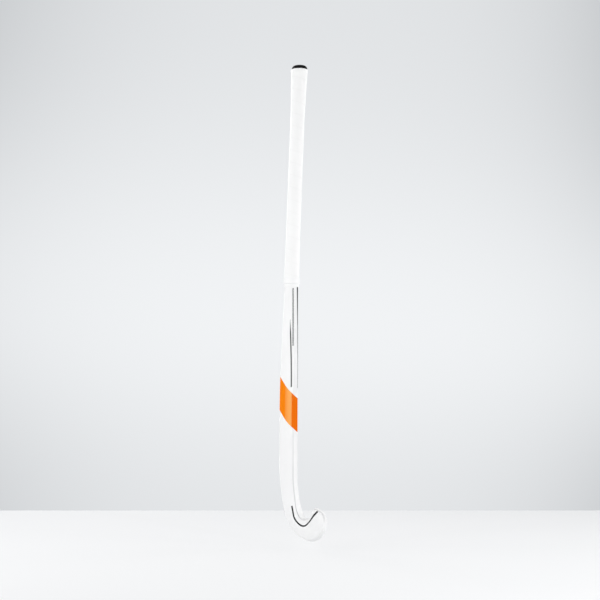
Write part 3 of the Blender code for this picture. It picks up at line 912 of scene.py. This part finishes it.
foam = {
    "headFoam": {"light": (0.74, 0.62, 0.36), "dark": (0.55, 0.43, 0.22), "cell": 0.0011},
    "plugFoam": {"light": (0.68, 0.58, 0.38), "dark": (0.50, 0.40, 0.24), "cell": 0.0007},
    "pits": (0.1, 0.7), "patch": (35.0, 4.0), "patchRange": (0.4, 0.7), "patchShade": 0.93,
    "bump": (0.6, 0.0004), "roughness": 0.75, "roughChange": 0.2, "shader": {"SpecularIORLevel": 0.2},
}
laminate = {
    "dark": (0.018, 0.018, 0.020), "light": (0.055, 0.056, 0.060),
    "tow": 0.0021, "crossing": (-0.15, 0.15), "fibre": 2200.0, "fibreShare": 0.2,
    "bump": (0.3, 0.0001), "roughness": 0.30, "roughChange": 0.12,
    "shader": {"CoatWeight": 0.4, "CoatRoughness": 0.15},
}


def makeFoam(name):
    # Closed-cell foam: pits the size of its cells, with painted shade at the bottom of each
    material, tree, shader = newMaterial(name)
    light, dark, cell = (foam[name][key] for key in ("light", "dark", "cell"))
    place = objectPlace(tree)
    cells = addNode(tree, "TexVoronoi", {"Vector": place, "Scale": 1 / cell}, feature="F1")
    cells = cells.outputs["Distance"]
    patch = noise(tree, place, *foam["patch"])
    colour = blendColour(tree, ramp(tree, cells, *foam["pits"]), light, dark)
    patchMask = ramp(tree, patch, *foam["patchRange"])
    colour = blendColour(tree, patchMask, colour, dimmed(light, foam["patchShade"]), "MULTIPLY")
    finish(tree, shader, foam, colour, patch, cells)
    return material


def makeLaminate():
    # Carbon braid at plus and minus 45 degrees under resin: each tow lies over the next by turns
    material, tree, shader = newMaterial("carbonBraid")
    place, axes = objectPlace(tree), objectAxes(tree)
    around = calc(tree, "ADD", axes["X"], axes["Y"])
    slants = (calc(tree, way, axes["Z"], around) for way in ("ADD", "SUBTRACT"))
    turns = (calc(tree, "MULTIPLY", slant, math.pi / laminate["tow"]) for slant in slants)
    one, two = (calc(tree, "SINE", turn) for turn in turns)
    weave = calc(tree, "MULTIPLY", one, two)
    over = ramp(tree, weave, *laminate["crossing"])
    colour = blendColour(tree, over, laminate["dark"], laminate["light"])
    fibre = noise(tree, place, laminate["fibre"])
    height = calc(tree, "MULTIPLY_ADD", fibre, laminate["fibreShare"], weave)
    finish(tree, shader, laminate, colour, over, height)
    return material


def refinish(node, material):
    # Only the finish changes: the CAD's mesh stays as it is
    for holder in frame["nodes"][node].material_slots:
        holder.material = material
    print("new finish on", node)


braid = makeLaminate()
refinish("head_foam_core", makeFoam("headFoam"))
refinish("handle_end_plug", makeFoam("plugFoam"))
refinish("inner_sleeve_heel_side", braid)
refinish("inner_sleeve_toe_side", braid)

# Camera

view = {
    "aim": (-0.0266, 0.00987), "distance": 2.580, "height": 0.27286,
    "azimuth": 40.0, "pitch": 4.2, "roll": 1.68,
    "lens": 79.44, "sensor": 36.0, "clip": (0.05, 50), "imageSize": 600, "seamRow": 510.5,
}


def makeCamera():
    # Stands back from the aim by the distance, tips up by the pitch, and leans by the roll
    azimuth, pitch, roll = (math.radians(view[key]) for key in ("azimuth", "pitch", "roll"))
    upright = Matrix.Rotation(azimuth, 3, "Z")
    turn = upright @ Matrix.Rotation(math.pi / 2 + pitch, 3, "X") @ Matrix.Rotation(roll, 3, "Z")
    right, level = upright.col[0], upright.col[1]
    camera = bpy.data.objects.new("camera", bpy.data.cameras.new("camera"))
    camera.data.sensor_width = view["sensor"]
    camera.data.lens = view["lens"]
    camera.data.clip_start, camera.data.clip_end = view["clip"]
    spot = Vector((*view["aim"], view["height"])) - view["distance"] * level
    camera.matrix_world = Matrix.Translation(spot) @ turn.to_4x4()
    bpy.context.scene.collection.objects.link(camera)
    bpy.context.scene.camera = camera
    return spot, right.copy(), level.copy(), -turn.col[2], turn.col[1].copy()


spot, right, level, forward, leanUp = makeCamera()

# Floor, wall and light

room = {
    "floorSize": 40.0, "wallWidth": 8.0, "wallHeight": 4.5,
    # The photograph's stick hangs a little above the floor: its shadows meet below the sole
    "floorDrop": 0.014,
    "floor": (0.850, 0.855, 0.862), "floorPatch": (3.0, 3.0), "floorShade": 0.99,
    "floorShader": {"Roughness": 0.85, "SpecularIORLevel": 0.1},
    # What the camera sees of the floor is partly even light, dimmer towards the wall
    "floorLight": (0.975, 0.987, 1.000), "floorDim": (0.938, 0.950, 0.968),
    "floorReach": 1.0, "floorShare": 0.45,
    "wallLight": (0.880, 0.896, 0.912), "wallDark": (0.600, 0.617, 0.634),
    # The painted pool of light on the wall: its place and reach up, down and sideways, then the wall's tone
    # away from it, its rise in the patch, and its painted-shade drop at the sides, above and below the patch
    # and in it
    "glowSideways": 0.05, "glowHeight": 0.47, "glowAbove": 0.49, "glowBelow": 0.38, "glowReach": 0.82,
    "toneBase": 0.54, "toneRise": 0.46, "sidePower": 3.0, "sideDrop": 0.54, "sideDropInPatch": 0.27,
    "world": (1.0, 1.0, 1.0), "worldSeen": (0.84, 0.85, 0.86),
    "horizonStrength": 0.92, "zenithStrength": 0.43, "zenithAt": 0.8,
}


def seamLine():
    # The floor's far edge is seen level across the picture. It lies where the plane through the camera
    # and that picture row meets the floor: n.(p - camera) = 0 with n = up + share * forward.
    focal = view["lens"] / view["sensor"] * view["imageSize"]
    n = leanUp + (view["seamRow"] - view["imageSize"] / 2) / focal * forward
    away = Vector((n.x, n.y, 0))
    length = away.length
    away /= length
    reach = n.z * (spot.z + room["floorDrop"]) / length
    middle = Vector((spot.x, spot.y, 0)) + level * reach / away.dot(level)
    middle.z = -room["floorDrop"]
    return middle, Vector((-away.y, away.x, 0))


def makeQuad(name, corners, material):
    # One face of the room, which is no part of the stick
    mesh = bpy.data.meshes.new(name)
    mesh.from_pydata([tuple(corner) for corner in corners], [], [(0, 1, 2, 3)])
    mesh.materials.append(material)
    plane = bpy.data.objects.new(name, mesh)
    bpy.context.scene.collection.objects.link(plane)
    return plane


def seenDirectly(tree):
    # 1 for camera, mirror and see-through rays
    rays = addNode(tree, "LightPath").outputs
    both = calc(tree, "MAXIMUM", rays["Is Camera Ray"], rays["Is Glossy Ray"])
    return calc(tree, "MAXIMUM", both, rays["Is Transmission Ray"])


def glowOf(tree, colour):
    return addNode(tree, "Emission", {"Color": colour, "Strength": 1.0}).outputs[0]


def mixShaders(tree, share, first, second):
    return addNode(tree, "MixShader", {0: share, 1: first, 2: second}).outputs[0]


def makeWallMaterial(middle, along):
    # A pale wall with a painted pool of light behind the middle of the stick and painted shade towards its
    # corners.
    # Seen from its back it isn't there, so that it never stands in another view.
    material, tree, shader = newMaterial("studioWall")
    out = tree.nodes["Material Output"]
    axes = objectAxes(tree)
    sideways = levelPlace(tree, axes, along, middle.dot(along) - room["glowSideways"])
    offset = calc(tree, "SUBTRACT", axes["Z"], room["glowHeight"])
    above = calc(tree, "DIVIDE", calc(tree, "MAXIMUM", offset, 0.0), room["glowAbove"])
    below = calc(tree, "DIVIDE", calc(tree, "MINIMUM", offset, 0.0), room["glowBelow"])
    offset = calc(tree, "ADD", above, below)
    # The patch fades as exp(-offset^2)
    patch = calc(tree, "EXPONENT", calc(tree, "MULTIPLY", calc(tree, "MULTIPLY", offset, offset), -1.0))
    far = calc(tree, "ABSOLUTE", calc(tree, "DIVIDE", sideways, room["glowReach"]))
    far = calc(tree, "POWER", far, room["sidePower"])
    drop = calc(tree, "MULTIPLY_ADD", patch, -room["sideDropInPatch"], room["sideDrop"])
    drop = calc(tree, "MULTIPLY", far, drop)
    tone = calc(tree, "MULTIPLY_ADD", patch, room["toneRise"], room["toneBase"])
    tone = ramp(tree, calc(tree, "SUBTRACT", tone, drop), 0.0, 1.0)
    glow = glowOf(tree, blendColour(tree, tone, room["wallDark"], room["wallLight"]))
    clear = addNode(tree, "BsdfTransparent").outputs[0]
    behind = addNode(tree, "NewGeometry").outputs["Backfacing"]
    tree.nodes.remove(shader)
    tree.links.new(mixShaders(tree, behind, glow, clear), out.inputs["Surface"])
    return material


def makeFloorMaterial(middle, along):
    # A pale matte floor that takes the stick's shadow. Seen directly, part of it is even light that grows
    # from the wall to the front.
    material, tree, shader = newMaterial("studioFloor")
    out = tree.nodes["Material Output"]
    near = Vector((-along.y, along.x, 0))
    fromWall = levelPlace(tree, objectAxes(tree), near, middle.dot(near))
    patch = noise(tree, objectPlace(tree), *room["floorPatch"])
    colour = blendColour(tree, patch, room["floor"], dimmed(room["floor"], room["floorShade"]))
    setShader(tree, shader, {"BaseColor": colour, **room["floorShader"]})
    nearness = ramp(tree, fromWall, 0.0, room["floorReach"])
    glow = glowOf(tree, blendColour(tree, nearness, room["floorDim"], room["floorLight"]))
    share = calc(tree, "MULTIPLY", seenDirectly(tree), room["floorShare"])
    tree.links.new(mixShaders(tree, share, shader.outputs["BSDF"], glow), out.inputs["Surface"])
    return material


def makeWorld():
    # Pale light from all round, strongest near the horizon, and seen as an even pale grey
    world = bpy.data.worlds.new("studio")
    bpy.context.scene.world = world
    world.use_nodes = True
    tree = world.node_tree
    tree.nodes.clear()
    direction = addNode(tree, "TexCoord").outputs["Generated"]
    height = addNode(tree, "SeparateXYZ", {"Vector": direction}).outputs["Z"]
    strength = ramp(tree, height, 0.0, room["zenithAt"], room["horizonStrength"], room["zenithStrength"])
    light = addNode(tree, "Background", {"Color": room["world"], "Strength": strength}).outputs[0]
    seen = addNode(tree, "Background", {"Color": room["worldSeen"], "Strength": 1.0}).outputs[0]
    mixed = mixShaders(tree, seenDirectly(tree), light, seen)
    tree.links.new(mixed, addNode(tree, "OutputWorld").inputs["Surface"])


lamps = {
    # Sideways, towards the camera and up from the stick's foot, size, strength, and the height it looks at
    "backRight": {"place": (1.2, -1.0, 1.3), "size": (0.5, 0.7), "power": 4.0, "lookAt": 0.35},
    "backLeft": {"place": (-1.0, -1.1, 1.3), "size": (0.5, 0.7), "power": 7.0, "lookAt": 0.35},
    "leftSide": {"place": (-1.3, 0.3, 0.8), "size": (0.12, 0.9), "power": 3.8, "lookAt": 0.60},
    "rightSide": {"place": (1.3, 0.3, 0.8), "size": (0.5, 0.9), "power": 4.8, "lookAt": 0.60},
    "frontRight": {"place": (0.70, 1.0, 0.55), "size": (0.10, 0.6), "power": 3.0, "lookAt": 0.50},
    "leftStrip": {"place": (-1.1, 1.05, 0.7), "size": (0.12, 1.1), "power": 4.0, "lookAt": 0.50},
}


def makeLamps():
    # Each lamp faces the point on the stick's axis that it looks at
    for name, lamp in lamps.items():
        light = bpy.data.lights.new(name, "AREA")
        light.shape = "RECTANGLE"
        light.size, light.size_y = lamp["size"]
        light.energy = lamp["power"]
        bulb = bpy.data.objects.new(name, light)
        sideways, near, high = lamp["place"]
        bulb.location = sideways * right - near * level + Vector((0, 0, high))
        aim = Vector((0, 0, lamp["lookAt"])) - bulb.location
        bulb.rotation_euler = aim.to_track_quat("-Z", "Y").to_euler()
        bulb.visible_camera = False
        bpy.context.scene.collection.objects.link(bulb)


middle, along = seamLine()
half = room["floorSize"] / 2
makeQuad("studioFloor", [(x * half, y * half, middle.z) for x, y in ((-1, -1), (1, -1), (1, 1), (-1, 1))],
         makeFloorMaterial(middle, along))
reach, tall = along * room["wallWidth"] / 2, Vector((0, 0, room["wallHeight"]))
wall = makeQuad("studioWall", [middle + reach, middle - reach, middle - reach + tall, middle + reach + tall],
                makeWallMaterial(middle, along))
wall.visible_diffuse = wall.visible_shadow = False    # it is only looked at: the lamps behind it shine past
makeWorld()
makeLamps()
bpy.context.scene.view_settings.view_transform = "Standard"
print("room and light set, wall", round((middle - Vector((*view["aim"], 0))).length, 3), "m from the stick")
